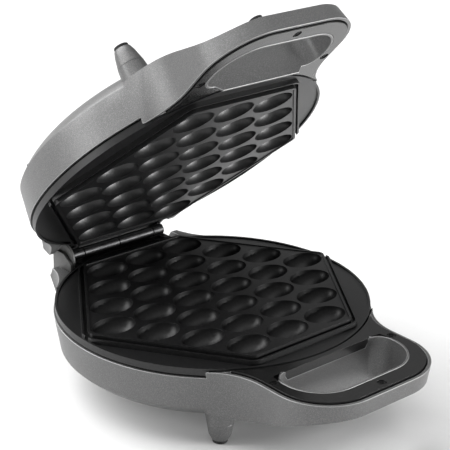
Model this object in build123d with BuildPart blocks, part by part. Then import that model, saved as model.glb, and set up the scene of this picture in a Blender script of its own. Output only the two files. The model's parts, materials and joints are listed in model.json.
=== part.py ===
from build123d import *
import os
from math import atan2, cos, degrees, radians, sin, sqrt, tan

# A bubble waffle maker: two round halves with handles, hinged at the back.
# Millimetres. X lies along the hinge pin, the handles point to -Y and +Z is up.
# The origin is on the table under the middle of the whole object as it stands open.
# Each half is drawn in its own frame: the frame's XY plane is the top of the
# plate's rim, and +Z of the frame looks at the other half. A depth is measured
# from that plane into the half, so a positive depth is a negative frame height.

os.makedirs("parts", exist_ok=True)

# Stance and opening
open_angle = 45.6  # angle of the lid as shown
plates_back = 15.8  # centre of the plates behind the middle of the whole object

# Round pan, which most other sizes follow
shell_r = 100.0
rim_gap = 1.0  # from the shell's rim to the plate's

# Cooking plates
plate_r = shell_r - rim_gap
lip_w = 1.5  # raised rim round each plate
band_h = 4.3  # side band of the plate that stays in sight
crescent_drop = 1.0  # the flat ground beside the cavity field, under the rim
crescent_t = 4.0
skirt_r = plate_r - 3.5  # ring under the plate that enters the shell
skirt_w = 3.0
skirt_depth = 9.0
cell_pitch = 31.0  # from cavity to cavity along a row
row_pitch = 22.94
row_counts = (3, 4, 5, 6, 5, 4, 3)
cell_half_l = 14.4
cell_half_w = 10.6
field_rise = 3.2  # cavity field above the rim
field_end_margin = 4.4  # from the last cavity to the corner of the field
field_side_margin = 4.4
ridge_rise = 3.85  # ridge round the field, above the rim
ridge_w = 1.5
ridge_gap = 0.3  # between the two ridges when shut
gutter_w = 2.4  # groove round the field
dam_w = 1.2  # low outer ridge beyond the groove
dam_rise = 2.2
casting_depth = 11.0  # underside of the field
corner_r = 5.0  # corners of the field

# Heating element, reflector and small electric pieces
element_r = 62.0
element_d = 6.6
element_fit = 0.1
element_depth = 12.2
element_gap_angle = 32.0
element_elbow_r = 8.0
element_leg_end = 29.0
boss_d = 9.0  # posts under the plate and pillars in the shell
reflector_depth = 20.0
reflector_t = 0.8
reflector_r = plate_r - 7.0
leg_hole_d = 11.0
thermostat_d = 16.0
thermostat_x = -31.0
thermostat_len = 8.0
fuse_d = 4.0
fuse_len = 15.0
block_l = 34.0
block_w = 14.0
block_h = 11.0
block_y = 42.0
seat_gap = 0.1

# Shell
wall = 2.5
rim_depth = 5.5  # shell rim under the plate rim
side_depth = 27.5
side_lean = 3.6  # how much narrower the side wall is at its foot
side_foot_r = shell_r - side_lean
round_depth = side_depth + 4.0  # a point on the curve between side wall and floor
round_r = side_foot_r - 4.3
shell_depth = side_depth + 12.0
floor_r = side_foot_r - 18.2
plate_room = 0.3  # shell clear of the plate's rim

# Handle
grip_half_w = 53.3
grip_reach = shell_r + 54.4
grip_corner_r = 34.0
neck_r = 40.0  # hollow curve between handle and pan
grip_wall = 2.2
grip_rim_depth = 1.5
grip_start_y = -shell_r + 34.0
grip_notch_y = -shell_r + 26.0  # the handle stands above the pan's rim from here on
grip_swell_y = -shell_r + 16.0  # where the underside is deepest
grip_mid_y = -shell_r - 12.0
base_swell_depth = 32.4
base_mid_depth = 25.6
lid_swell_depth = 31.4
lid_mid_depth = 23.0
base_tip_depth = 11.8
lid_tip_depth = 12.8
hole_half_w = grip_half_w - 10.3
hole_back_y = -shell_r - 3.6
hole_front_y = hole_back_y - 36.0
hole_back_r = 9.8
hole_front_r = 24.0
sleeve_wall = 1.5
sleeve_top_depth = 0.2
apron_half_w = hole_half_w - 11.5  # the base's sleeve is low here and an apron of the cover fills it
apron_depth = 6.2
tongue_half_w = hole_half_w - 14.0  # the lid's sleeve stands up here
tongue_rise = 3.1
end_run = 4.0  # how far the ends of the apron and the tongue lean

# Handle cover
cover_depth = 0.5
cover_t = 3.2
cover_fit = 0.2
cover_start_y = -shell_r + 17.0
apron_t = sleeve_wall + 2 * cover_fit
cover_screw_x = grip_half_w - 6.0
cover_screw_y = hole_back_y - 5.8
cover_front_screw_y = hole_front_y - 7.4
cover_boss_d = 6.4
cover_head_d = 5.2
cover_head_h = 1.4
cover_recess = 2.0
cover_recess_d = 5.6
cover_shank_d = 2.6
cover_shank_l = 6.5

# Back of the shells
tail_half_w = 51.0
tail_neck_r = 45.0
tail_start_y = shell_r - 34.0
tail_notch_y = shell_r - 26.0  # the back stands above the pan's rim from here on
tail_y = shell_r + 6.5
tail_top_y = shell_r + 1.0
tail_rim_depth = 1.0
tail_shoulder_depth = 8.5
tail_lean_y = shell_r + 2.2
tail_lean_depth = 21.5
tail_foot_y = shell_r
tail_inner_half_w = 47.5
base_deck_depth = 8.5
lid_deck_depth = 12.0
mount_half_w = 40.5
mount_inner_x = 28.0
mount_y = shell_r + 4.0

# Hinge
hinge_y = shell_r + 0.2
barrel_d = 7.4
pin_d = 3.0
pin_fit = 0.05
knuckle_inner = 28.9
knuckle_outer = 37.6
knuckle_gap = 0.6
leaf_half_w = 40.0
leaf_t = 1.5
leaf_y = hinge_y + 1.8
leaf_clear = 0.6  # leaf edge outside the plate
web_w = 2.0
leaf_screw_x = 35.0
leaf_screw_room = 2.1  # screw centre behind the leaf's front edge
leaf_head_d = 4.2
leaf_head_h = 1.3
leaf_shank_d = 2.6
leaf_shank_l = 8.0

# Wire guards beside the hinge, on the left
guard_x = 45.3
guard_t = 2.0
guard_gap = 0.4
guard_top = 8.1
guard_front_y = hinge_y - 10.0
guard_front_top = 2.6
guard_shoulder_y = hinge_y - 2.2
guard_crown_y = hinge_y + 4.8
guard_back_y = hinge_y + 10.1
guard_back_top = 5.0
guard_back_low = -6.0
guard_foot_y = hinge_y - 5.2
guard_foot_l = 9.0
guard_foot_w = 4.0
guard_foot_t = 1.5
lid_guard_t = 1.8
lid_guard_r = 9.8
lid_guard_front_y = hinge_y - 8.0

# Feet
foot_x = shell_r - 48.0
foot_y = shell_r - 31.0
foot_boss_start = side_depth - 0.5
foot_boss_d = 20.0
foot_seat_depth = shell_depth + 1.0
foot_root_d = 16.6
foot_waist_depth = foot_seat_depth + 8.0
base_waist_d = 13.8
base_foot_end_d = 10.0
lid_waist_d = 13.0
lid_foot_end_d = 10.4
foot_end_depth = foot_waist_depth + 3.5
pad_t = 2.0
pad_d = 9.2
pad_plug_d = 7.2
pad_plug_l = 3.4
foot_bore_d = 7.4
foot_bore_l = 7.6
plate_screw_head_d = 6.8
plate_screw_head_h = 2.4
plate_screw_d = 3.9
screw_fit = 0.05
plate_screw_pass_d = 4.4
plate_screw_tip_depth = 13.5

# Cord gland in the back wall
gland_x = -22.0
gland_depth = 15.0
gland_d = 10.0
gland_flange_d = 12.0
gland_flange_t = 1.6
gland_bore_d = 5.4
gland_fit = 0.2

# Indicator lenses in the lid
lens_d = 6.0
lens_fit = 0.1
lens_rise = 0.6
lens_flange_d = 9.0
lens_flange_t = 1.2
lens_x = 9.0
lens_y = -58.0

slot_w = 0.8  # cross slots in the screw heads
slot_depth = 0.6
slot_share = 0.7  # of the head's width

# Sizes that follow
mating_rise = ridge_rise + ridge_gap / 2
draft = degrees(atan2(shell_r - side_foot_r, side_depth - rim_depth))
cover_bottom = cover_depth + cover_t
cover_hole_end = cover_depth + cover_recess + cover_shank_l + seat_gap
reflector_back = reflector_depth + reflector_t
row_slope = atan2(row_pitch, cell_pitch / 2)
field_half_l = (max(row_counts) - 1) / 2 * cell_pitch + cell_half_l + field_end_margin
field_half_w = (len(row_counts) - 1) / 2 * row_pitch + cell_half_w + field_side_margin
field_corner_x = field_half_l - field_half_w / tan(row_slope)
lip_height = foot_end_depth + pad_t
leaf_screw_y = sqrt((plate_r + leaf_clear) ** 2 - leaf_screw_x**2) + leaf_screw_room
head_seat_depth = foot_end_depth - foot_bore_l
head_top_depth = head_seat_depth + plate_screw_head_h
hinge_z = lip_height + mating_rise

# The lower half stands level. The lid is the lower half turned over about the
# middle plane between the plates, then opened about the hinge pin.
base_frame = Plane(origin=(0, plates_back, lip_height))
shut_lid = Plane(
    origin=(0, plates_back, lip_height + 2 * mating_rise), x_dir=(-1, 0, 0), z_dir=(0, 0, -1)
)
pin_line = Pos(0, plates_back + hinge_y, hinge_z)
opening = pin_line * Rot(-open_angle, 0, 0) * pin_line.inverse()
lid_frame = Plane(opening * shut_lid.location)


# Planes and outlines
def cross_plane(frame, x=0):
    """The plane across a half's width at x: its own x runs back, its own y out of the half."""
    return Plane(
        origin=frame.from_local_coords((x, 0, 0)), x_dir=frame.y_dir, z_dir=frame.x_dir
    )


def front_plane(frame, y=0):
    """The upright plane at y that faces the handle."""
    return Plane(
        origin=frame.from_local_coords((0, y, 0)), x_dir=frame.x_dir, z_dir=-frame.y_dir
    )


def under_plane(frame, depth):
    """The plane at a depth that faces out of the bottom of a half."""
    return Plane(
        origin=frame.from_local_coords((0, 0, -depth)),
        x_dir=frame.x_dir,
        z_dir=-frame.z_dir,
    )


def middle(frame):
    return Axis(frame.origin, frame.z_dir)


def flare(depth):
    """How far the leaning side wall, carried on, stands outside the shell's rim at a depth."""
    return (rim_depth - depth) * tan(radians(draft))


def half_outline(plane, inset=0):
    """Plan of the round pan and its handle, joined by hollow curves."""
    with BuildSketch(plane) as outline:
        Circle(shell_r)
        with Locations((0, -grip_reach / 2)):
            Rectangle(2 * grip_half_w, grip_reach)
        fillet(outline.vertices().group_by(Axis.Y)[0], grip_corner_r)
        crossing = -sqrt(shell_r**2 - grip_half_w**2)
        necks = outline.vertices().filter_by_position(Axis.Y, crossing - 1, crossing + 1)
        fillet(necks, neck_r)
        if inset:
            offset(amount=-inset)
        with Locations((0, grip_start_y)):
            Rectangle(
                4 * grip_half_w,
                2 * grip_reach,
                align=(Align.CENTER, Align.MAX),
                mode=Mode.INTERSECT,
            )
    return outline.sketch


def tail_outline(plane, inset=0):
    """Plan of the square back that carries the hinge."""
    with BuildSketch(plane) as outline:
        Circle(shell_r)
        with Locations((0, (tail_y + tail_neck_r) / 2)):
            Rectangle(2 * tail_half_w, tail_y + tail_neck_r)
        crossing = sqrt(shell_r**2 - tail_half_w**2)
        necks = outline.vertices().filter_by_position(Axis.Y, crossing - 1, crossing + 1)
        fillet(necks, tail_neck_r)
        if inset:
            offset(amount=-inset)
        with Locations((0, tail_start_y)):
            Rectangle(
                4 * tail_half_w,
                tail_y - tail_start_y + wall,
                align=(Align.CENTER, Align.MIN),
                mode=Mode.INTERSECT,
            )
    return outline.sketch


def hand_hole(plane, grow=0):
    """Plan of the D shaped hole that the fingers go through."""
    with BuildSketch(plane) as hole:
        with Locations((0, (hole_back_y + hole_front_y) / 2)):
            Rectangle(2 * hole_half_w, hole_back_y - hole_front_y)
        fillet(hole.vertices().group_by(Axis.Y)[0], hole_front_r)
        fillet(hole.vertices().group_by(Axis.Y)[-1], hole_back_r)
        if grow:
            offset(amount=grow)
    return hole.sketch


def field_outline(plane, grow=0):
    """Six sided plan of the cavity field."""
    ends = (
        (field_half_l, 0),
        (field_corner_x, field_half_w),
        (-field_corner_x, field_half_w),
        (-field_half_l, 0),
        (-field_corner_x, -field_half_w),
        (field_corner_x, -field_half_w),
    )
    with BuildSketch(plane) as field:
        Polygon(*ends, align=None)
        fillet(field.vertices(), corner_r)
        if grow:
            offset(amount=grow)
    return field.sketch


def bowl(frame, inset, top_depth):
    """Solid of revolution of the round pan, drawn in by inset."""
    with BuildPart() as pan:
        with BuildSketch(front_plane(frame)):
            with BuildLine():
                rim = (shell_r, -rim_depth + inset)
                foot = (side_foot_r, -side_depth)
                edge = (floor_r, -shell_depth)
                Line((0, -rim_depth + inset), rim)
                Line(rim, foot)
                ThreePointArc(foot, (round_r, -round_depth), edge)
                Line(edge, (0, -shell_depth))
                mirror(about=Plane.YZ)
            make_face()
            if inset:
                offset(amount=-inset, kind=Kind.INTERSECTION)
            Rectangle(
                2 * shell_r,
                2 * shell_depth,
                align=(Align.MIN, Align.CENTER),
                mode=Mode.INTERSECT,
            )
            with Locations((0, -top_depth)):
                Rectangle(
                    2 * shell_r,
                    2 * shell_depth,
                    align=(Align.MIN, Align.MAX),
                    mode=Mode.INTERSECT,
                )
        revolve(axis=middle(frame))
    return pan.part


def rim_notch(frame, start_y, notch_y):
    """What is cut off a block where it runs into the pan, down to the pan's rim."""
    with BuildPart() as notch:
        with BuildSketch(frame.offset(-rim_depth)):
            with Locations((0, (start_y + notch_y) / 2)):
                Rectangle(2 * shell_r, abs(notch_y - start_y))
        extrude(amount=rim_depth)
    return notch.part


def grip_block(frame, swell_depth, mid_depth, tip_depth, inset=0):
    """Solid of the handle, down to its gently curved underside."""
    with BuildPart() as block:
        extrude(
            half_outline(frame.offset(-grip_rim_depth), inset - flare(grip_rim_depth)),
            amount=-shell_depth,
            taper=draft,
        )
        with BuildSketch(cross_plane(frame)):
            with BuildLine():
                root = (grip_start_y + wall, -side_depth + inset)
                swell = (grip_swell_y, -swell_depth + inset)
                mid = (grip_mid_y, -mid_depth + inset)
                tip = (-grip_reach - wall, -tip_depth + inset)
                deep = -2 * shell_depth
                Spline(root, swell, mid, tip)
                Polyline(tip, (tip[0], deep), (root[0], deep), root)
            make_face()
        extrude(amount=shell_r, both=True, mode=Mode.SUBTRACT)
        add(rim_notch(frame, grip_start_y, grip_notch_y), mode=Mode.SUBTRACT)
    return block.part


def tail_block(frame, inset=0, top_depth=tail_rim_depth):
    """Solid of the square back, with a leaning back wall and sloped upper corner."""
    with BuildPart() as block:
        extrude(
            tail_outline(frame.offset(-top_depth), inset - flare(top_depth)),
            amount=top_depth - side_depth,
            taper=draft,
        )
        with BuildSketch(cross_plane(frame)):
            Polygon(
                (0, shell_depth),
                (tail_top_y - inset, shell_depth),
                (tail_top_y - inset, -tail_rim_depth),
                (tail_y - inset, -tail_shoulder_depth),
                (tail_lean_y - inset, -tail_lean_depth),
                (tail_foot_y - inset, -side_depth + inset),
                (0, -side_depth + inset),
                align=None,
            )
        extrude(amount=shell_r, both=True, mode=Mode.INTERSECT)
        add(rim_notch(frame, tail_start_y, tail_notch_y), mode=Mode.SUBTRACT)
    return block.part


def foot_spots():
    return GridLocations(2 * foot_x, 2 * foot_y, 2, 2)


def cover_screw_spots():
    return Locations(
        (cover_screw_x, cover_screw_y),
        (-cover_screw_x, cover_screw_y),
        (0, cover_front_screw_y),
    )


def leaf_screw_spots():
    return Locations((leaf_screw_x, leaf_screw_y), (-leaf_screw_x, leaf_screw_y))


def foot_cones(frame, start_depth, start_d, end_depth, end_d):
    """Round cones at the four feet, from one depth and diameter to another."""
    with BuildPart() as cones:
        for x, y in ((1, 1), (1, -1), (-1, 1), (-1, -1)):
            spot = frame.from_local_coords((x * foot_x, y * foot_y, 0))
            with BuildSketch(Plane(origin=spot, x_dir=frame.x_dir, z_dir=-frame.y_dir)):
                Polygon(
                    (0, -start_depth),
                    (start_d / 2, -start_depth),
                    (end_d / 2, -end_depth),
                    (0, -end_depth),
                    align=None,
                )
            revolve(axis=Axis(spot, frame.z_dir))
    return cones.part


def back_panel(frame, half_w, low_depth, high_depth, thickness=sleeve_wall):
    """Upright panel in the sleeve's back wall, wider by a lean at its second depth."""
    low_w = half_w
    high_w = half_w + end_run
    with BuildPart() as panel:
        with BuildSketch(front_plane(frame, hole_back_y)):
            Polygon(
                (-low_w, -low_depth),
                (low_w, -low_depth),
                (high_w, -high_depth),
                (-high_w, -high_depth),
                align=None,
            )
        extrude(amount=-thickness)
    return panel.part


# Shells
def make_shell(frame, deck_depth, swell_depth, mid_depth, tip_depth):
    hollow = bowl(frame, wall, rim_depth)
    grip = grip_block(frame, swell_depth, mid_depth, tip_depth)
    tail = tail_block(frame)
    with BuildPart() as sleeve:
        extrude(hand_hole(frame.offset(-grip_rim_depth), sleeve_wall), amount=-shell_depth)
        add(grip, mode=Mode.INTERSECT)
        extrude(
            hand_hole(frame.offset(-grip_rim_depth), sleeve_wall),
            amount=grip_rim_depth - sleeve_top_depth,
        )
    with BuildPart() as bosses:
        with BuildSketch(frame.offset(-cover_bottom)):
            with cover_screw_spots():
                Circle(cover_boss_d / 2)
        extrude(amount=-shell_depth)
        add(grip, mode=Mode.INTERSECT)
    with BuildPart() as grip_hollow:
        add(grip_block(frame, swell_depth, mid_depth, tip_depth, grip_wall))
        with BuildSketch(frame):
            Circle(shell_r)
        extrude(amount=-shell_depth, mode=Mode.SUBTRACT)
    with BuildPart() as tail_hollow:
        add(tail_block(frame, wall, deck_depth + wall))
        with BuildSketch(frame):
            Circle(shell_r)
        extrude(amount=-shell_depth, mode=Mode.SUBTRACT)
    with BuildPart() as shell:
        add(grip)
        add(tail)
        with BuildSketch(frame.offset(-deck_depth)):
            with Locations((0, shell_r / 2)):
                Rectangle(
                    2 * tail_inner_half_w, shell_r, align=(Align.CENTER, Align.MIN)
                )
        extrude(amount=shell_depth, mode=Mode.SUBTRACT)
        with BuildSketch(frame.offset(-leaf_t)):
            for side in (-1, 1):
                with Locations((side * (mount_half_w + mount_inner_x) / 2, mount_y)):
                    Rectangle(
                        mount_half_w - mount_inner_x,
                        tail_half_w / 2,
                        align=(Align.CENTER, Align.MAX),
                    )
        extrude(amount=-(deck_depth + wall))
        with BuildSketch(frame):
            Circle(plate_r + plate_room)
        extrude(amount=-rim_depth, mode=Mode.SUBTRACT)
        add(bowl(frame, 0, rim_depth))
        add(hollow, mode=Mode.SUBTRACT)
        add(grip_hollow.part, mode=Mode.SUBTRACT)
        add(tail_hollow.part, mode=Mode.SUBTRACT)
        add(sleeve.part)
        add(bosses.part)
        extrude(
            hand_hole(frame.offset(shell_depth)), amount=-2 * shell_depth, mode=Mode.SUBTRACT
        )
        add(foot_cones(frame, foot_boss_start, foot_boss_d, foot_seat_depth, foot_root_d))
        with BuildSketch(frame.offset(-reflector_back)):
            with foot_spots():
                Circle(boss_d / 2)
        extrude(amount=reflector_back - foot_seat_depth)
        with BuildSketch(frame.offset(-reflector_back)):
            with foot_spots():
                Circle(plate_screw_pass_d / 2)
        extrude(amount=reflector_back - foot_seat_depth, mode=Mode.SUBTRACT)
        with BuildSketch(frame.offset(-cover_bottom)):
            with cover_screw_spots():
                Circle(cover_shank_d / 2 + screw_fit)
        extrude(amount=cover_bottom - cover_hole_end, mode=Mode.SUBTRACT)
        with BuildSketch(frame.offset(-leaf_t)):
            with leaf_screw_spots():
                Circle(leaf_shank_d / 2 + screw_fit)
        extrude(amount=leaf_t - leaf_shank_l - seat_gap, mode=Mode.SUBTRACT)
    return shell.part


back_lean = atan2(tail_y - tail_lean_y, tail_lean_depth - tail_shoulder_depth)


def gland_plane():
    """The spot on the leaning back wall where the cord enters."""
    run = (gland_depth - tail_shoulder_depth) * tan(back_lean)
    origin = base_frame.from_local_coords((gland_x, tail_y - run, -gland_depth))
    return Plane(origin=origin, x_dir=(-1, 0, 0), z_dir=(0, cos(back_lean), -sin(back_lean)))


with BuildPart() as base_shell:
    add(
        make_shell(
            base_frame, base_deck_depth, base_swell_depth, base_mid_depth, base_tip_depth
        )
    )
    add(back_panel(base_frame, apron_half_w, apron_depth, 0), mode=Mode.SUBTRACT)
    with BuildSketch(gland_plane()):
        Circle(gland_d / 2 + gland_fit)
    extrude(amount=2 * wall, both=True, mode=Mode.SUBTRACT)

with BuildPart() as lid_shell:
    add(
        make_shell(lid_frame, lid_deck_depth, lid_swell_depth, lid_mid_depth, lid_tip_depth)
    )
    add(back_panel(lid_frame, tongue_half_w, -tongue_rise, sleeve_top_depth))
    with BuildSketch(lid_frame.offset(-shell_depth)):
        with Locations((lens_x, lens_y), (-lens_x, lens_y)):
            Circle(lens_d / 2 + lens_fit)
    extrude(amount=wall, mode=Mode.SUBTRACT)


# Cooking plates
def element_line(frame):
    """Ring with a gap at the back and two legs that turn down into the half."""
    start = 90 + element_gap_angle / 2
    stop = 450 - element_gap_angle / 2
    depth = -element_depth
    first = (element_r * cos(radians(start)), element_r * sin(radians(start)))
    last = (-first[0], first[1])
    far = (0, -element_r, depth)
    run = element_elbow_r * sin(radians(start)), -element_elbow_r * cos(radians(start))
    leg_x = first[0] + run[0]
    leg_y = first[1] + run[1]
    elbow = depth - element_elbow_r
    with BuildLine(frame) as line:
        Line((leg_x, leg_y, -element_leg_end), (leg_x, leg_y, elbow))
        TangentArc(
            (leg_x, leg_y, elbow), (first[0], first[1], depth), tangent=frame.z_dir
        )
        ThreePointArc((first[0], first[1], depth), far, (last[0], last[1], depth))
        TangentArc(
            (-leg_x, leg_y, elbow), (last[0], last[1], depth), tangent=frame.z_dir
        )
        Line((-leg_x, leg_y, elbow), (-leg_x, leg_y, -element_leg_end))
    return line.wire()


def element_tube(frame, diameter):
    path = element_line(frame)
    with BuildPart() as tube:
        with BuildSketch(Plane(origin=path @ 0, z_dir=path % 0)):
            Circle(diameter / 2)
        sweep(path=path)
    return tube.part


def cell_rows():
    """Centres of the cavities, row by row, each row set over by half a pitch."""
    spots = []
    for row, count in enumerate(row_counts):
        y = (row - (len(row_counts) - 1) / 2) * row_pitch
        for cell in range(count):
            spots.append(((cell - (count - 1) / 2) * cell_pitch, y))
    return spots


def make_cells(frame):
    """The egg shaped cavities, each half an ellipse turned half round its long axis."""
    with BuildPart() as cells:
        for x, y in cell_rows():
            top = Plane(
                origin=frame.from_local_coords((x, y, field_rise)),
                x_dir=frame.x_dir,
                z_dir=frame.z_dir,
            )
            with BuildSketch(top):
                Ellipse(cell_half_l, cell_half_w)
                Rectangle(
                    2 * cell_half_l,
                    2 * cell_half_w,
                    align=(Align.CENTER, Align.MIN),
                    mode=Mode.INTERSECT,
                )
            revolve(axis=Axis(top.origin, -top.x_dir), revolution_arc=180)
    return cells.part


def make_plate(frame):
    with BuildPart() as plate:
        with BuildSketch(frame):
            Circle(plate_r)
        extrude(amount=-band_h)
        with BuildSketch(frame):
            Circle(plate_r - lip_w)
        extrude(amount=-crescent_drop, mode=Mode.SUBTRACT)
        with BuildSketch(frame.offset(-band_h)):
            Circle(skirt_r)
        extrude(amount=band_h - skirt_depth)
        with BuildSketch(frame.offset(-crescent_drop - crescent_t)):
            Circle(skirt_r - skirt_w)
        extrude(amount=crescent_drop + crescent_t - skirt_depth, mode=Mode.SUBTRACT)
        with BuildSketch(frame.offset(-casting_depth)):
            add(field_outline(Plane.XY))
            Circle(skirt_r - lip_w, mode=Mode.INTERSECT)
        extrude(amount=casting_depth - crescent_drop)
        with BuildSketch(frame.offset(-crescent_drop)):
            add(field_outline(Plane.XY))
            Circle(plate_r - lip_w, mode=Mode.INTERSECT)
        extrude(amount=crescent_drop + ridge_rise)
        with BuildSketch(frame.offset(field_rise)):
            add(field_outline(Plane.XY, -ridge_w))
        extrude(amount=ridge_rise - field_rise, mode=Mode.SUBTRACT)
        with BuildSketch(frame.offset(-crescent_drop)):
            add(field_outline(Plane.XY, gutter_w + dam_w))
            add(field_outline(Plane.XY, gutter_w), mode=Mode.SUBTRACT)
            Circle(plate_r - lip_w, mode=Mode.INTERSECT)
        extrude(amount=crescent_drop + dam_rise)
        with BuildSketch(frame.offset(-crescent_drop - crescent_t)):
            with foot_spots():
                Circle(boss_d / 2)
        extrude(amount=crescent_drop + crescent_t - reflector_depth)
        add(make_cells(frame), mode=Mode.SUBTRACT)
        add(element_tube(frame, element_d + 2 * element_fit), mode=Mode.SUBTRACT)
        with BuildSketch(frame.offset(-reflector_depth)):
            with foot_spots():
                Circle(plate_screw_d / 2 + screw_fit)
        extrude(amount=reflector_depth - plate_screw_tip_depth + seat_gap, mode=Mode.SUBTRACT)
    return plate.part


def make_element(frame):
    return element_tube(frame, element_d)


def make_reflector(frame):
    leg = element_line(frame) @ 0
    leg_spot = frame.to_local_coords(leg)
    with BuildPart() as reflector:
        with BuildSketch(frame.offset(-reflector_depth)):
            Circle(reflector_r)
            with foot_spots():
                Circle(plate_screw_pass_d / 2, mode=Mode.SUBTRACT)
            with Locations((leg_spot.X, leg_spot.Y), (-leg_spot.X, leg_spot.Y)):
                Circle(leg_hole_d / 2, mode=Mode.SUBTRACT)
        extrude(amount=-reflector_t)
    return reflector.part


with BuildPart() as base_plate:
    add(make_plate(base_frame))

with BuildPart() as lid_plate:
    add(make_plate(lid_frame))

with BuildPart() as base_heating_element:
    add(make_element(base_frame))

with BuildPart() as lid_heating_element:
    add(make_element(lid_frame))

with BuildPart() as base_reflector:
    add(make_reflector(base_frame))

with BuildPart() as lid_reflector:
    add(make_reflector(lid_frame))


# Handle covers
def make_cover(frame):
    with BuildPart() as cover:
        with BuildSketch(frame.offset(-cover_depth)):
            add(half_outline(Plane.XY, grip_wall + cover_fit))
            with Locations((0, cover_start_y)):
                Rectangle(
                    4 * grip_half_w,
                    2 * grip_reach,
                    align=(Align.CENTER, Align.MAX),
                    mode=Mode.INTERSECT,
                )
            add(hand_hole(Plane.XY, sleeve_wall + cover_fit), mode=Mode.SUBTRACT)
            Circle(shell_r, mode=Mode.SUBTRACT)
        extrude(amount=-cover_t)
        with BuildSketch(frame.offset(-cover_depth)):
            with cover_screw_spots():
                Circle(cover_recess_d / 2)
        extrude(amount=-cover_recess, mode=Mode.SUBTRACT)
        with BuildSketch(frame.offset(-cover_depth)):
            with cover_screw_spots():
                Circle(cover_shank_d / 2 + screw_fit)
        extrude(amount=-cover_t, mode=Mode.SUBTRACT)
    return cover.part


with BuildPart() as base_handle_cover:
    add(make_cover(base_frame))
    add(
        back_panel(
            base_frame,
            apron_half_w - cover_fit,
            apron_depth - cover_fit,
            cover_depth,
            apron_t,
        )
    )

with BuildPart() as lid_handle_cover:
    add(make_cover(lid_frame))


# Screws
def make_screws(plane, spots, head_d, head_h, shank_d, shank_l):
    """Cross slot screws whose heads end at the plane and whose shanks go under it."""
    with BuildPart() as screws:
        with BuildSketch(plane):
            with spots():
                Circle(head_d / 2)
        extrude(amount=-head_h)
        with BuildSketch(plane.offset(-head_h)):
            with spots():
                Circle(shank_d / 2)
        extrude(amount=-shank_l)
        with BuildSketch(plane):
            with spots():
                Rectangle(slot_share * head_d, slot_w)
                Rectangle(slot_w, slot_share * head_d)
        extrude(amount=-slot_depth, mode=Mode.SUBTRACT)
    return screws.part


def make_plate_screws(frame):
    return make_screws(
        under_plane(frame, head_top_depth),
        foot_spots,
        plate_screw_head_d,
        plate_screw_head_h,
        plate_screw_d,
        head_seat_depth - plate_screw_tip_depth,
    )


def make_cover_screws(frame):
    head_top = cover_depth + cover_recess - cover_head_h
    return make_screws(
        frame.offset(-head_top),
        cover_screw_spots,
        cover_head_d,
        cover_head_h,
        cover_shank_d,
        cover_shank_l,
    )


def make_leaf_screws(frame):
    return make_screws(
        frame.offset(leaf_head_h),
        leaf_screw_spots,
        leaf_head_d,
        leaf_head_h,
        leaf_shank_d,
        leaf_shank_l,
    )


with BuildPart() as base_plate_screws:
    add(make_plate_screws(base_frame))

with BuildPart() as lid_plate_screws:
    add(make_plate_screws(lid_frame))

with BuildPart() as base_handle_screws:
    add(make_cover_screws(base_frame))

with BuildPart() as lid_handle_screws:
    add(make_cover_screws(lid_frame))

with BuildPart() as base_bracket_screws:
    add(make_leaf_screws(base_frame))

with BuildPart() as lid_bracket_screws:
    add(make_leaf_screws(lid_frame))


# Feet
def make_feet(frame, waist_d, end_d):
    with BuildPart() as feet:
        add(foot_cones(frame, foot_seat_depth, foot_root_d, foot_waist_depth, waist_d))
        add(foot_cones(frame, foot_waist_depth, waist_d, foot_end_depth, end_d))
        with BuildSketch(frame.offset(-foot_seat_depth)):
            with foot_spots():
                Circle(plate_screw_pass_d / 2)
        extrude(amount=foot_seat_depth - foot_end_depth, mode=Mode.SUBTRACT)
        with BuildSketch(frame.offset(-head_seat_depth)):
            with foot_spots():
                Circle(foot_bore_d / 2)
        extrude(amount=-foot_bore_l, mode=Mode.SUBTRACT)
    return feet.part


def make_pads(frame):
    """Rubber pads whose plugs close the screw holes in the feet."""
    with BuildPart() as pads:
        with BuildSketch(frame.offset(-foot_end_depth)):
            with foot_spots():
                Circle(pad_d / 2)
        extrude(amount=-pad_t)
        with BuildSketch(frame.offset(-foot_end_depth)):
            with foot_spots():
                Circle(pad_plug_d / 2)
        extrude(amount=pad_plug_l)
    return pads.part


with BuildPart() as base_feet:
    add(make_feet(base_frame, base_waist_d, base_foot_end_d))

with BuildPart() as lid_feet:
    add(make_feet(lid_frame, lid_waist_d, lid_foot_end_d))

with BuildPart() as base_foot_pads:
    add(make_pads(base_frame))

with BuildPart() as lid_foot_pads:
    add(make_pads(lid_frame))


# Hinge
def make_bracket(frame, spans):
    """A folded leaf screwed to the shell, with the knuckles that the spans name."""
    with BuildPart() as bracket:
        with BuildSketch(frame):
            with Locations((0, leaf_y)):
                Rectangle(
                    2 * leaf_half_w, leaf_half_w, align=(Align.CENTER, Align.MAX)
                )
            Circle(plate_r + leaf_clear, mode=Mode.SUBTRACT)
        extrude(amount=-leaf_t)
        with BuildSketch(frame.offset(-leaf_t)):
            for start, stop in spans:
                with Locations(((start + stop) / 2, leaf_y)):
                    Rectangle(stop - start, web_w, align=(Align.CENTER, Align.MAX))
        extrude(amount=leaf_t + mating_rise)
        for start, stop in spans:
            with BuildSketch(cross_plane(frame, start)):
                with Locations((hinge_y, mating_rise)):
                    Circle(barrel_d / 2)
            extrude(amount=stop - start)
        with BuildSketch(cross_plane(frame, -knuckle_outer)):
            with Locations((hinge_y, mating_rise)):
                Circle(pin_d / 2 + pin_fit)
        extrude(amount=2 * knuckle_outer, mode=Mode.SUBTRACT)
        with BuildSketch(frame):
            with leaf_screw_spots():
                Circle(leaf_shank_d / 2 + screw_fit)
        extrude(amount=-leaf_t, mode=Mode.SUBTRACT)
    return bracket.part


long_start = knuckle_gap / 2
long_stop = knuckle_inner - knuckle_gap / 2
short_start = knuckle_inner + knuckle_gap / 2
base_knuckles = ((-long_stop, -long_start), (long_start, long_stop))
lid_knuckles = ((-knuckle_outer, -short_start), (short_start, knuckle_outer))

with BuildPart() as base_hinge_bracket:
    add(make_bracket(base_frame, base_knuckles))

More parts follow.
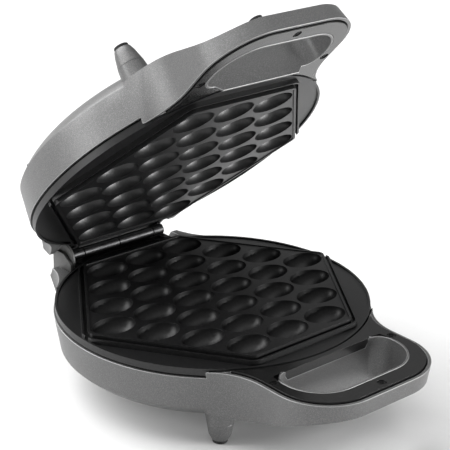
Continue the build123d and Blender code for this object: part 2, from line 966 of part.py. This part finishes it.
with BuildPart() as lid_hinge_bracket:
    add(make_bracket(lid_frame, lid_knuckles))

with BuildPart() as hinge_pin:
    with BuildSketch(cross_plane(base_frame, -knuckle_outer)):
        with Locations((hinge_y, mating_rise)):
            Circle(pin_d / 2)
    extrude(amount=2 * knuckle_outer)


# Wire guards
with BuildPart() as base_wire_guard:
    with BuildSketch(cross_plane(base_frame, -guard_x)):
        with BuildLine():
            front_low = (guard_front_y, -base_deck_depth)
            front_top = (guard_front_y, guard_front_top)
            shoulder = (guard_shoulder_y, guard_top)
            crown = (guard_crown_y, guard_top)
            back_top = (guard_back_y, guard_back_top)
            back_low = (guard_back_y, guard_back_low)
            Polyline(front_low, front_top, shoulder, crown)
            TangentArc(crown, back_top, tangent=(1, 0))
            Polyline(back_top, back_low, (tail_y, -base_deck_depth), front_low)
        make_face()
    extrude(amount=guard_t)
    with BuildSketch(base_frame.offset(-base_deck_depth)):
        with Locations((guard_t - guard_x, guard_foot_y)):
            Rectangle(guard_foot_w, guard_foot_l, align=(Align.MAX, Align.MIN))
    extrude(amount=guard_foot_t)

with BuildPart() as lid_wire_guard:
    with BuildSketch(cross_plane(lid_frame, guard_x - guard_t - guard_gap)):
        with Locations((hinge_y, mating_rise)):
            Circle(lid_guard_r)
        with Locations((lid_guard_front_y, -lid_deck_depth)):
            Rectangle(
                tail_lean_y + wall - lid_guard_front_y,
                lid_deck_depth + mating_rise,
                align=(Align.MIN, Align.MIN),
            )
    extrude(amount=-lid_guard_t)


# Electric pieces in the base
with BuildPart() as thermostat:
    with BuildSketch(base_frame.offset(-casting_depth - seat_gap)):
        with Locations((thermostat_x, 0)):
            Circle(thermostat_d / 2)
    extrude(amount=-thermostat_len)

with BuildPart() as thermal_fuse:
    with BuildSketch(cross_plane(base_frame, -fuse_len / 2)):
        with Locations((0, -reflector_back - fuse_d / 2 - seat_gap)):
            Circle(fuse_d / 2)
    extrude(amount=fuse_len)

with BuildPart() as terminal_block:
    with BuildSketch(base_frame.offset(-shell_depth + wall)):
        with Locations((0, block_y)):
            Rectangle(block_l, block_w)
    extrude(amount=block_h)
    with BuildSketch(base_frame.offset(-shell_depth + wall + block_h)):
        with Locations((0, block_y)):
            with GridLocations(block_l / 3, block_w / 2, 3, 2):
                Circle(leaf_shank_d / 2)
    extrude(amount=-block_h / 2, mode=Mode.SUBTRACT)

with BuildPart() as cord_gland:
    with BuildSketch(gland_plane()):
        Circle(gland_flange_d / 2)
    extrude(amount=gland_flange_t)
    with BuildSketch(gland_plane()):
        Circle(gland_d / 2)
    extrude(amount=-wall)
    with BuildSketch(gland_plane()):
        Circle(gland_bore_d / 2)
    extrude(amount=2 * wall, both=True, mode=Mode.SUBTRACT)

with BuildPart() as indicator_lenses:
    with BuildSketch(lid_frame.offset(-shell_depth + wall)):
        with Locations((lens_x, lens_y), (-lens_x, lens_y)):
            Circle(lens_flange_d / 2)
    extrude(amount=lens_flange_t)
    with BuildSketch(lid_frame.offset(-shell_depth + wall)):
        with Locations((lens_x, lens_y), (-lens_x, lens_y)):
            Circle(lens_d / 2)
    extrude(amount=-wall - lens_rise)

pieces = {
    "base_shell": base_shell,
    "base_feet": base_feet,
    "base_foot_pads": base_foot_pads,
    "base_handle_cover": base_handle_cover,
    "base_handle_screws": base_handle_screws,
    "base_plate": base_plate,
    "base_plate_screws": base_plate_screws,
    "base_heating_element": base_heating_element,
    "base_reflector": base_reflector,
    "base_hinge_bracket": base_hinge_bracket,
    "base_bracket_screws": base_bracket_screws,
    "hinge_pin": hinge_pin,
    "base_wire_guard": base_wire_guard,
    "thermostat": thermostat,
    "thermal_fuse": thermal_fuse,
    "terminal_block": terminal_block,
    "cord_gland": cord_gland,
    "lid_shell": lid_shell,
    "lid_feet": lid_feet,
    "lid_foot_pads": lid_foot_pads,
    "lid_handle_cover": lid_handle_cover,
    "lid_handle_screws": lid_handle_screws,
    "lid_plate": lid_plate,
    "lid_plate_screws": lid_plate_screws,
    "lid_heating_element": lid_heating_element,
    "lid_reflector": lid_reflector,
    "lid_hinge_bracket": lid_hinge_bracket,
    "lid_bracket_screws": lid_bracket_screws,
    "lid_wire_guard": lid_wire_guard,
    "indicator_lenses": indicator_lenses,
}
for name, piece in pieces.items():
    piece.part.label = name
    export_step(piece.part, f"parts/{name}.step")
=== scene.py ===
import json
from math import cos, pi, radians, sin

import bmesh
import bpy
from mathutils import Matrix, Vector

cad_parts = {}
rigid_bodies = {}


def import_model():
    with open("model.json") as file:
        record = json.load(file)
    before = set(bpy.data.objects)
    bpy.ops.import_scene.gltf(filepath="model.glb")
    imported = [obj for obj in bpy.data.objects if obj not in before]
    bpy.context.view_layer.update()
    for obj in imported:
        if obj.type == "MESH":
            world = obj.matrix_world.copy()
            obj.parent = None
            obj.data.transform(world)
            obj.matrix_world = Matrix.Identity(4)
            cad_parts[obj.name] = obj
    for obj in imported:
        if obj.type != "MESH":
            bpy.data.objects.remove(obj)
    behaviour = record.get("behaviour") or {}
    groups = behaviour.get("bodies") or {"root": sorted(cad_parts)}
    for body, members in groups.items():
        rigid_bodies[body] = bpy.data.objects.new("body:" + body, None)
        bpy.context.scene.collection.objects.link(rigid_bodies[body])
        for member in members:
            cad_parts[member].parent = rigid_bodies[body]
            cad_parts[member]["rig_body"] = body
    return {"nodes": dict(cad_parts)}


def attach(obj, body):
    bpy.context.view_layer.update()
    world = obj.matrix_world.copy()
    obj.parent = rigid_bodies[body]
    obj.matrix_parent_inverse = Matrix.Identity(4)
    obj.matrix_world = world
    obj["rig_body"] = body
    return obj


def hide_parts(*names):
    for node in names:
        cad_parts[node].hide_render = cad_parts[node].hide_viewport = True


bl_info = {
    "name": "Bubble waffle maker",
    "version": (1, 0, 0),
    "blender": (4, 5, 0),
    "location": "View3D > Sidebar > Waffle maker",
    "description": "Gives a bubble waffle maker's CAD frame its finished surfaces and materials",
    "category": "Object",
}

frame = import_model()
MM = 0.001

# Measures of the CAD model that the scene needs again
HINGE = Vector((0, 116 * MM, 58 * MM))  # where the hinge pin lies
HINGE_RISE = 4 * MM  # how far the pin lies over the rim plane of each half
LID_TILT = radians(45.6)  # how far the lid is open as it is stored
FIELD_RISE = 3.2 * MM  # how far the cavity field stands over the rim plane

# How the CAD meshes are made whole and rounded
JOIN_GAP = 0.002 * MM  # corners that lie nearer than this become one
FLAT_ANGLE = radians(0.4)  # faces that meet at less than this become one
CREASE_ANGLE = radians(38)  # edges with a larger angle are rounded
SHADE_ANGLE = radians(40)  # edges with a larger angle are shaded as sharp
EDGE_REACH = 6.6 * MM  # how far under the rim plane the shells' edges are fully rounded
LIP_SLACK = 0.02 * MM  # how far off the field's height a cavity's lip may lie
LIP_LOW = -0.9 * MM  # lowest height, from the field, that the lips' rounding takes
LIP_HIGH = 0.05 * MM  # highest height that it takes

# Colours to blend with
BLACK = (0, 0, 0)
WHITE = (1, 1, 1)

# Patterns that are wider than the grain, in spots per metre
PAINT_CLOUDS = 18.0
COVER_SMEARS = 30.0
COATING_WEAR = 24.0
LENS_FLOW = 400.0

EDGE_HIGHLIGHT_SHARE = 0.4  # share of the light flecks' colour blended into the paint on the shells' rim edges: a painted highlight along the edges
COATING_PEEL = 1.4 * MM  # size of the coating's orange peel
SCRATCH_STRETCH = (0.15, 1, 1)  # scratches in metal run along X
GLOSS_SPREAD = 0.07  # how far a metal's roughness goes up and down

# Stage
FLOOR_HALF = 6.0  # metres from its middle to its edge
FLOOR_DROP = 0.2 * MM  # keeps the floor clear of the feet's ends
FLOOR_GRAIN = 4 * MM
FLOOR_SHADE = 0.99  # the paper's dark spots are hardly darker than the rest
SKY_GREYS = ((0.5, 0.3), (0.62, 0.18), (0.9, 1))  # height, where 1 is overhead, and grey
SKY_STRENGTH = 1.05
SUN_POWER = 4.8
SUN_SPREAD = radians(70)
SUN_WAY = Vector((0.28, -0.66, -0.7))
LAMP_TARGET = Vector((0, 0, 0.12))
LAMPS = (  # name, place, width, height, power
    ("front", (0.8, -1.0, 0.14), 0.7, 0.26, 18),
    ("left", (-1.3, 0.5, 0.52), 0.6, 0.6, 5),
)

# The camera that was fitted to the photo
CAMERA_PLACE = Vector((-0.5552, -0.6351, 0.4515))
CAMERA_TURN = radians(-40.94)
CAMERA_RISE = radians(22.21)
CAMERA_ROLL = radians(0.78)
CAMERA_LENS = 119.7
CAMERA_SENSOR = 36
CAMERA_NEAR = 0.05
CAMERA_FAR = 50


# Colours and sizes that a user can change
def linear(code):
    """An sRGB hex colour as linear red, green and blue."""
    parts = [int(code[at : at + 2], 16) / 255 for at in (1, 3, 5)]
    return [p / 12.92 if p <= 0.04045 else ((p + 0.055) / 1.055) ** 2.4 for p in parts]


def colour_field(name, code, words):
    return bpy.props.FloatVectorProperty(
        name=name, description=words, subtype="COLOR", size=3, min=0, max=1, default=linear(code)
    )


def length_field(name, size, words):
    return bpy.props.FloatProperty(
        name=name, description=words, subtype="DISTANCE", unit="LENGTH", min=0, default=size
    )


class WaffleMakerColours(bpy.types.PropertyGroup):
    """Colours of the finishes."""

    paint: colour_field("Paint", "#626262", "Silver grey of the painted shells")
    paint_fleck: colour_field("Paint fleck", "#c4c4c4", "Light flecks in the silver paint")
    cover: colour_field("Covers", "#0c0c0c", "Black of the handle covers")
    coating: colour_field("Coating", "#0a0a0b", "Black of the non-stick coating")
    steel: colour_field("Hinge steel", "#303031", "Blackened steel of the hinge")
    zinc: colour_field("Screw zinc", "#8d8f92", "Zinc on the screws")
    rubber: colour_field("Rubber", "#131313", "Rubber of the foot tips")
    floor: colour_field("Floor", "#dcdcdc", "Pale floor of the studio")


class WaffleMakerSizes(bpy.types.PropertyGroup):
    """Sizes of the fine details."""

    shell_round: length_field("Shell rounding", 0.35 * MM, "Rounding of the shells' edges")
    cover_round: length_field("Cover rounding", 0.4 * MM, "Rounding of the covers' edges")
    plate_round: length_field("Plate rounding", 0.35 * MM, "Rounding of the plates' edges")
    lip_round: length_field("Lip rounding", 0.8 * MM, "Rounding of the cavities' lips")
    small_round: length_field("Small rounding", 0.2 * MM, "Rounding of small metal pieces")
    fleck: length_field("Fleck size", 0.45 * MM, "Size of the flecks as they are drawn")
    grain: length_field("Grain size", 0.9 * MM, "Size of the grain on moulded plastic")


# Helpers for materials
def add_node(tree, kind, settings=None, **links):
    """Adds a node, sets its inputs' values and joins the named inputs to other outputs."""
    node = tree.nodes.new(kind)
    for key, value in (settings or {}).items():
        node.inputs[key].default_value = value
    for key, source in links.items():
        tree.links.new(source, node.inputs[key])
    return node


def new_material(name):
    """An empty material with its node tree and its object coordinates."""
    material = bpy.data.materials.new(name)
    material.use_nodes = True
    tree = material.node_tree
    tree.nodes.clear()
    place = add_node(tree, "ShaderNodeTexCoord").outputs["Object"]
    return material, tree, place


def close_material(tree, surface, colour, bump=None, roughness=None):
    """Adds the shader with its even values and joins whatever varies over the surface."""
    shader = add_node(tree, "ShaderNodeBsdfPrincipled", surface)
    tree.links.new(colour, shader.inputs["Base Color"])
    if bump is not None:
        tree.links.new(bump, shader.inputs["Normal"])
    if roughness is not None:
        tree.links.new(roughness, shader.inputs["Roughness"])
    add_node(tree, "ShaderNodeOutputMaterial", Surface=shader.outputs["BSDF"])


def noise(tree, place, scale, detail, roughness=0.5):
    """The grey value of a noise with the given number of spots per metre."""
    settings = {"Scale": scale, "Detail": detail, "Roughness": roughness}
    return add_node(tree, "ShaderNodeTexNoise", settings, Vector=place).outputs["Fac"]


def bump_of(tree, height, strength, depth):
    """The surface normal over a relief of the given depth."""
    settings = {"Strength": strength, "Distance": depth}
    return add_node(tree, "ShaderNodeBump", settings, Height=height).outputs["Normal"]


def spread(tree, value, low, high, span=(0, 1)):
    """A value within the given span, spread between low and high."""
    settings = {"From Min": span[0], "From Max": span[1], "To Min": low, "To Max": high}
    return add_node(tree, "ShaderNodeMapRange", settings, Value=value).outputs["Result"]


def colour_steps(tree, factor, *stops):
    """A colour ramp with the given (position, colour) stops."""
    ramp = add_node(tree, "ShaderNodeValToRGB", Fac=factor)
    elements = ramp.color_ramp.elements
    while len(elements) < len(stops):
        elements.new(0.5)
    for element, (position, colour) in zip(elements, stops):
        element.position = position
        element.color = (*colour, 1)
    return ramp.outputs["Color"]


def blend_of(dark, light, share):
    return [d + (l - d) * share for d, l in zip(dark, light)]


# Materials
def silver_paint(name="silver_painted_plastic", share=0.0):
    # Silver painted plastic: a grey lacquer with aluminium flakes, which gives a soft metallic
    # sheen with a fine light and dark speckle. A share above nought blends the colour toward the
    # flecks' light grey, which paints a highlight on the rounded rim edges where they would
    # catch the light.
    colours = bpy.context.scene.waffle_colours
    sizes = bpy.context.scene.waffle_sizes
    # with a share above nought this is a painted highlight, lighter than the paint itself
    base = blend_of(colours.paint, colours.paint_fleck, share)
    material, tree, place = new_material(name)
    flakes = noise(tree, place, 1 / sizes.fleck, detail=2.0, roughness=0.7)
    clouds = noise(tree, place, PAINT_CLOUDS, detail=2.0)
    speckle = colour_steps(
        tree, flakes,
        (0.3, blend_of(BLACK, base, 0.84)),
        (0.5, base),
        (0.72, blend_of(base, colours.paint_fleck, 0.25)),
    )
    rough = spread(tree, clouds, low=0.38, high=0.46, span=(0.3, 0.7))
    bump = bump_of(tree, flakes, strength=0.08, depth=0.03 * MM)
    close_material(tree, {"Metallic": 0.5, "IOR": 1.5}, speckle, bump, rough)
    return material


def moulded_black():
    # Black ABS, moulded in a finely grained tool: a satin black with a soft broad sheen.
    cover = bpy.context.scene.waffle_colours.cover
    material, tree, place = new_material("moulded_black_abs")
    grain = noise(tree, place, 1 / bpy.context.scene.waffle_sizes.grain, detail=3.0)
    smears = noise(tree, place, COVER_SMEARS, detail=3.0)
    tone = colour_steps(
        tree, grain,
        (0.3, blend_of(BLACK, cover, 0.8)),
        (0.7, blend_of(cover, WHITE, 0.01)),
    )
    rough = spread(tree, smears, low=0.16, high=0.24)
    bump = bump_of(tree, grain, strength=0.15, depth=0.04 * MM)
    close_material(tree, {"IOR": 1.53}, tone, bump, rough)
    return material


def non_stick_coating():
    # PTFE sprayed on cast aluminium and baked: black with a soft satin highlight and the
    # faint orange peel of the spray.
    coating = bpy.context.scene.waffle_colours.coating
    material, tree, place = new_material("non_stick_coating")
    peel = noise(tree, place, 1 / COATING_PEEL, detail=2.0)
    wear = noise(tree, place, COATING_WEAR, detail=4.0)
    tone = colour_steps(
        tree, peel,
        (0.35, blend_of(BLACK, coating, 0.8)),
        (0.7, blend_of(coating, WHITE, 0.006)),
    )
    rough = spread(tree, wear, low=0.36, high=0.44)
    bump = bump_of(tree, peel, strength=0.12, depth=0.06 * MM)
    close_material(tree, {"IOR": 1.5}, tone, bump, rough)
    return material


def metal(name, colour, roughness, grit):
    """A metal with fine scratches of the given size and a slightly uneven tone."""
    material, tree, place = new_material(name)
    along = add_node(tree, "ShaderNodeMapping", {"Scale": SCRATCH_STRETCH}, Vector=place)
    scratches = noise(tree, along.outputs["Vector"], 1 / grit, detail=3.0)
    tone = colour_steps(
        tree, scratches,
        (0.3, blend_of(BLACK, colour, 0.75)),
        (0.7, blend_of(colour, WHITE, 0.05)),
    )
    rough = spread(tree, scratches, roughness - GLOSS_SPREAD, roughness + GLOSS_SPREAD)
    bump = bump_of(tree, scratches, strength=0.1, depth=0.02 * MM)
    close_material(tree, {"Metallic": 1.0}, tone, bump, rough)
    return material


def blackened_steel():
    # Pressed steel with a black oxide finish: a dark metal with a dull sheen.
    steel = bpy.context.scene.waffle_colours.steel
    return metal("blackened_steel", steel, roughness=0.42, grit=0.6 * MM)


def zinc_plating():
    # Zinc plated screw steel: a cool mid grey metal, a little bright on its edges.
    zinc = bpy.context.scene.waffle_colours.zinc
    return metal("zinc_plated_steel", zinc, roughness=0.35, grit=0.4 * MM)


def heated_tube():
    # Stainless tube that has been hot: brownish grey, dull.
    return metal("heat_darkened_steel", linear("#6a6158"), roughness=0.45, grit=0.8 * MM)


def bright_sheet():
    # Rolled aluminium sheet: bright with rolling lines.
    return metal("rolled_aluminium", linear("#d5d6d8"), roughness=0.3, grit=0.5 * MM)


def grainy(name, colour, roughness, ior, grain, depth, shade=0.82):
    """A plain moulded or fired body with a fine grain, whose dark spots have the given shade."""
    material, tree, place = new_material(name)
    spots = noise(tree, place, 1 / grain, detail=3.0)
    tone = colour_steps(tree, spots, (0.3, blend_of(BLACK, colour, shade)), (0.7, colour))
    bump = bump_of(tree, spots, strength=0.2, depth=depth)
    close_material(tree, {"Roughness": roughness, "IOR": ior}, tone, bump)
    return material


def foot_rubber():
    # Moulded rubber: near black and matt.
    return grainy(
        "moulded_rubber", bpy.context.scene.waffle_colours.rubber,
        roughness=0.62, ior=1.5, grain=0.7 * MM, depth=0.05 * MM,
    )


def guard_plastic():
    # Heat proof nylon, moulded and left bare: dark grey and matt.
    return grainy(
        "moulded_nylon", linear("#5c5c5b"),
        roughness=0.5, ior=1.53, grain=0.9 * MM, depth=0.04 * MM,
    )


def steatite():
    # Glazed steatite, the ceramic of terminal blocks: cream with a slight gloss.
    return grainy(
        "glazed_steatite", linear("#dcd3bf"),
        roughness=0.25, ior=1.6, grain=1.2 * MM, depth=0.02 * MM,
    )


def lens_red():
    # Clear red polycarbonate, moulded: it lets light through and has a sharp gloss.
    material, tree, place = new_material("clear_red_polycarbonate")
    flow = noise(tree, place, LENS_FLOW, detail=1.0)
    tone = colour_steps(tree, flow, (0.3, linear("#a81a10")), (0.7, linear("#c8281a")))
    close_material(tree, {"Roughness": 0.12, "IOR": 1.58, "Transmission Weight": 0.5}, tone)
    return material


def floor_paper():
    # Matt background paper of a photo studio: pale, even and without gloss.
    return grainy(
        "matt_paper", bpy.context.scene.waffle_colours.floor,
        roughness=0.9, ior=1.45, grain=FLOOR_GRAIN, depth=0.002 * MM, shade=FLOOR_SHADE,
    )


# Helpers for pieces
def merged(node):
    """A bmesh of a CAD node with its loose triangles joined and its flat faces made whole."""
    mesh = bmesh.new()
    mesh.from_mesh(frame["nodes"][node].data)
    bmesh.ops.remove_doubles(mesh, verts=mesh.verts, dist=JOIN_GAP)
    bmesh.ops.dissolve_limit(mesh, angle_limit=FLAT_ANGLE, verts=mesh.verts, edges=mesh.edges)
    return mesh


def sharp_edges(mesh):
    """Edges where two faces meet at more than the crease angle."""
    return [
        edge for edge in mesh.edges
        if len(edge.link_faces) == 2 and edge.calc_face_angle() > CREASE_ANGLE
    ]


def round_edges(mesh, edges, size, segments=2, clamp=True):
    """Rounds edges, with clamp only as far as there is room, and returns the new faces."""
    return bmesh.ops.bevel(
        mesh, geom=edges, offset=size, offset_type="OFFSET", segments=segments, profile=0.5,
        affect="EDGES", clamp_overlap=clamp, material=-1,
    )["faces"]


def height_over_rim(point, body):
    """Height of a point over the rim plane of the half that it belongs to."""
    tilt = LID_TILT if body == "lid" else pi  # the base lies like a lid turned right over
    toward_other = Vector((0, -sin(tilt), -cos(tilt)))
    return (point - HINGE).dot(toward_other) + HINGE_RISE


def near_rim(edge, body):
    """Whether an edge is an outer corner that lies at the rim plane or a little under it."""
    return edge.is_convex and all(
        height_over_rim(end.co, body) > -EDGE_REACH for end in edge.verts
    )


def on_lip(edge, body):
    """Whether an edge is an outer corner at the height of the cavity field."""
    return edge.is_convex and all(
        abs(height_over_rim(end.co, body) - FIELD_RISE) < LIP_SLACK for end in edge.verts
    )


def in_lip_rounding(edge, body):
    """Whether an edge is an outer corner within the heights that the lips' rounding takes."""
    height = height_over_rim(edge.verts[0].co, body) - FIELD_RISE
    return edge.is_convex and LIP_LOW < height < LIP_HIGH


def add_object(name, data):
    item = bpy.data.objects.new(name, data)
    bpy.context.scene.collection.objects.link(item)
    return item


def add_piece(mesh, node, body, material):
    """Turns a finished bmesh into a piece that rides on a body and stands for a CAD node."""
    name = f"{node}_finished"
    for face in mesh.faces:
        face.smooth = True
    data = bpy.data.meshes.new(name)
    mesh.to_mesh(data)
    mesh.free()
    data.set_sharp_from_angle(angle=SHADE_ANGLE)
    piece = add_object(name, data)
    data.materials.append(material)
    even = piece.modifiers.new("even_normals", "WEIGHTED_NORMAL")
    even.keep_sharp = True
    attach(piece, body)
    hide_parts(node)
    return piece


def dress_node(node, material, size=0, edge_highlight_material=None):
    """Makes a CAD node's shape with rounded edges as a piece of its own.

    With an edge highlight material, the outer corners near the rim get their full rounding and
    that lighter material, a painted highlight along the rim edges. All other edges are rounded
    as far as there is room.
    """
    body = frame["nodes"][node]["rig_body"]
    mesh = merged(node)
    if size:
        rim = []
        others = []
        for edge in sharp_edges(mesh):
            group = rim if edge_highlight_material and near_rim(edge, body) else others
            group.append(edge)
        rounded = round_edges(mesh, rim, size, clamp=False) if rim else []
        round_edges(mesh, [edge for edge in others if edge.is_valid], size)
        for face in rounded:
            # the rounded rim edges take the second material, the lighter paint of the painted
            # edge highlight
            face.material_index = 1
    piece = add_piece(mesh, node, body, material)
    if edge_highlight_material:
        piece.data.materials.append(edge_highlight_material)


# Pieces
class WAFFLE_OT_shells(bpy.types.Operator):
    """Make the two painted shells."""

    bl_idname = "waffle.shells"
    bl_label = "Shells"

    def execute(self, context):
        paint = silver_paint()
        # lighter paint for the rim edges: a painted highlight along them
        edge_highlight_paint = silver_paint("silver_paint_edge_highlight", EDGE_HIGHLIGHT_SHARE)
        size = context.scene.waffle_sizes.shell_round
        for half in ("base", "lid"):
            dress_node(f"{half}_shell", paint, size, edge_highlight_paint)
        return {"FINISHED"}


class WAFFLE_OT_feet(bpy.types.Operator):
    """Make the feet and their rubber tips."""

    bl_idname = "waffle.feet"
    bl_label = "Feet"

    def execute(self, context):
        paint = bpy.data.materials["silver_painted_plastic"]
        rubber = foot_rubber()
        size = context.scene.waffle_sizes.cover_round
        for half in ("base", "lid"):
            dress_node(f"{half}_feet", paint, size)
            dress_node(f"{half}_foot_pads", rubber, size)
        return {"FINISHED"}


class WAFFLE_OT_plates(bpy.types.Operator):
    """Make the two cooking plates."""

    bl_idname = "waffle.plates"
    bl_label = "Cooking plates"

    def execute(self, context):
        coating = non_stick_coating()
        sizes = context.scene.waffle_sizes
        for half in ("base", "lid"):
            node = f"{half}_plate"
            mesh = merged(node)
            lips = [edge for edge in sharp_edges(mesh) if on_lip(edge, half)]
            round_edges(mesh, lips, sizes.lip_round, segments=3)
            others = [edge for edge in sharp_edges(mesh) if not in_lip_rounding(edge, half)]
            round_edges(mesh, others, sizes.plate_round)
            add_piece(mesh, node, half, coating)
        return {"FINISHED"}


class WAFFLE_OT_handle_covers(bpy.types.Operator):
    """Make the handle covers and their screws."""

    bl_idname = "waffle.handle_covers"
    bl_label = "Handle covers"

    def execute(self, context):
        black = moulded_black()
        steel = blackened_steel()
        sizes = context.scene.waffle_sizes
        for half in ("base", "lid"):
            dress_node(f"{half}_handle_cover", black, sizes.cover_round)
            dress_node(f"{half}_handle_screws", steel, sizes.small_round)
        return {"FINISHED"}


class WAFFLE_OT_hinge(bpy.types.Operator):
    """Make the hinge, its screws and the wire guards."""

    bl_idname = "waffle.hinge"
    bl_label = "Hinge"

    def execute(self, context):
        steel = bpy.data.materials["blackened_steel"]
        nylon = guard_plastic()
        size = context.scene.waffle_sizes.small_round
        for half in ("base", "lid"):
            dress_node(f"{half}_hinge_bracket", steel, size)
            dress_node(f"{half}_bracket_screws", steel, size)
            dress_node(f"{half}_wire_guard", nylon, 2 * size)
        dress_node("hinge_pin", steel, size)
        return {"FINISHED"}


class WAFFLE_OT_heating(bpy.types.Operator):
    """Make the heating elements, reflectors, plate screws and electric pieces."""

    bl_idname = "waffle.heating"
    bl_label = "Heating and electric pieces"

    def execute(self, context):
        tube = heated_tube()
        sheet = bright_sheet()
        zinc = zinc_plating()
        cream = steatite()
        rubber = bpy.data.materials["moulded_rubber"]
        size = context.scene.waffle_sizes.small_round
        for half in ("base", "lid"):
            dress_node(f"{half}_heating_element", tube)
            dress_node(f"{half}_reflector", sheet, size)
            dress_node(f"{half}_plate_screws", zinc, size)
        for node in ("thermostat", "thermal_fuse", "terminal_block"):
            dress_node(node, cream, size)
        dress_node("cord_gland", rubber, size)
        dress_node("indicator_lenses", lens_red(), size)
        return {"FINISHED"}


# Stage
def add_floor():
    mesh = bmesh.new()
    bmesh.ops.create_grid(mesh, x_segments=2, y_segments=2, size=FLOOR_HALF)
    data = bpy.data.meshes.new("floor")
    mesh.to_mesh(data)
    mesh.free()
    floor = add_object("floor", data)
    floor.location.z = -FLOOR_DROP
    data.materials.append(floor_paper())


def add_sky():
    """Lights the scene from all round: grey at the horizon and white overhead."""
    world = bpy.data.worlds.new("studio")
    world.use_nodes = True
    tree = world.node_tree
    way = add_node(tree, "ShaderNodeTexCoord").outputs["Generated"]
    parts = add_node(tree, "ShaderNodeSeparateXYZ", Vector=way)
    stops = [(position, (grey, grey, grey)) for position, grey in SKY_GREYS]
    sky = colour_steps(tree, parts.outputs["Z"], *stops)
    background = tree.nodes["Background"]
    tree.links.new(sky, background.inputs["Color"])
    background.inputs["Strength"].default_value = SKY_STRENGTH
    bpy.context.scene.world = world


def add_lamp(light, way):
    """Makes a lamp of a light and turns it to shine the given way."""
    lamp = add_object(light.name, light)
    lamp.rotation_mode = "QUATERNION"
    lamp.rotation_quaternion = way.to_track_quat("-Z", "Y")
    return lamp


def add_lights():
    sun = bpy.data.lights.new("key", "SUN")
    sun.energy = SUN_POWER
    sun.angle = SUN_SPREAD
    add_lamp(sun, SUN_WAY)
    for name, place, width, height, power in LAMPS:
        panel = bpy.data.lights.new(name, "AREA")
        panel.shape = "RECTANGLE"
        panel.size = width
        panel.size_y = height
        panel.energy = power
        lamp = add_lamp(panel, LAMP_TARGET - Vector(place))
        lamp.location = place


def add_camera():
    lens = bpy.data.cameras.new("camera")
    lens.lens = CAMERA_LENS
    lens.sensor_width = CAMERA_SENSOR
    lens.clip_start = CAMERA_NEAR
    lens.clip_end = CAMERA_FAR
    camera = add_object("camera", lens)
    back = Vector((
        sin(CAMERA_TURN) * cos(CAMERA_RISE),
        -cos(CAMERA_TURN) * cos(CAMERA_RISE),
        sin(CAMERA_RISE),
    ))
    right = Vector((cos(CAMERA_TURN), sin(CAMERA_TURN), 0))
    up = back.cross(right)
    tilted_right = right * cos(CAMERA_ROLL) + up * sin(CAMERA_ROLL)
    tilted_up = up * cos(CAMERA_ROLL) - right * sin(CAMERA_ROLL)
    view = Matrix((tilted_right, tilted_up, back)).transposed().to_4x4()
    view.translation = CAMERA_PLACE
    camera.matrix_world = view
    bpy.context.scene.camera = camera


class WAFFLE_OT_stage(bpy.types.Operator):
    """Make the floor, the lights and the camera."""

    bl_idname = "waffle.stage"
    bl_label = "Stage"

    def execute(self, context):
        context.scene.view_settings.view_transform = "Standard"
        add_floor()
        add_sky()
        add_lights()
        add_camera()
        return {"FINISHED"}


# Add-on
class WAFFLE_PT_panel(bpy.types.Panel):
    """Sidebar panel that lists the sizes, the colours and the pieces."""

    bl_label = "Waffle maker"
    bl_space_type = "VIEW_3D"
    bl_region_type = "UI"
    bl_category = "Waffle maker"

    def draw(self, context):
        layout = self.layout
        for group in (context.scene.waffle_sizes, context.scene.waffle_colours):
            box = layout.box()
            for key in group.__annotations__:
                box.prop(group, key)
        for operator in OPERATORS:
            layout.operator(operator.bl_idname)


OPERATORS = (
    WAFFLE_OT_stage,
    WAFFLE_OT_shells,
    WAFFLE_OT_feet,
    WAFFLE_OT_plates,
    WAFFLE_OT_handle_covers,
    WAFFLE_OT_hinge,
    WAFFLE_OT_heating,
)
CLASSES = (WaffleMakerColours, WaffleMakerSizes, *OPERATORS, WAFFLE_PT_panel)


def register():
    for kind in CLASSES:
        bpy.utils.register_class(kind)
    bpy.types.Scene.waffle_colours = bpy.props.PointerProperty(type=WaffleMakerColours)
    bpy.types.Scene.waffle_sizes = bpy.props.PointerProperty(type=WaffleMakerSizes)


def unregister():
    del bpy.types.Scene.waffle_sizes
    del bpy.types.Scene.waffle_colours
    for kind in reversed(CLASSES):
        bpy.utils.unregister_class(kind)


def main():
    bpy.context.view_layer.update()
    register()
    bpy.ops.waffle.stage()
    bpy.ops.waffle.shells()
    bpy.ops.waffle.feet()
    bpy.ops.waffle.plates()
    bpy.ops.waffle.handle_covers()
    bpy.ops.waffle.hinge()
    bpy.ops.waffle.heating()


if __name__ == "__main__":
    main()
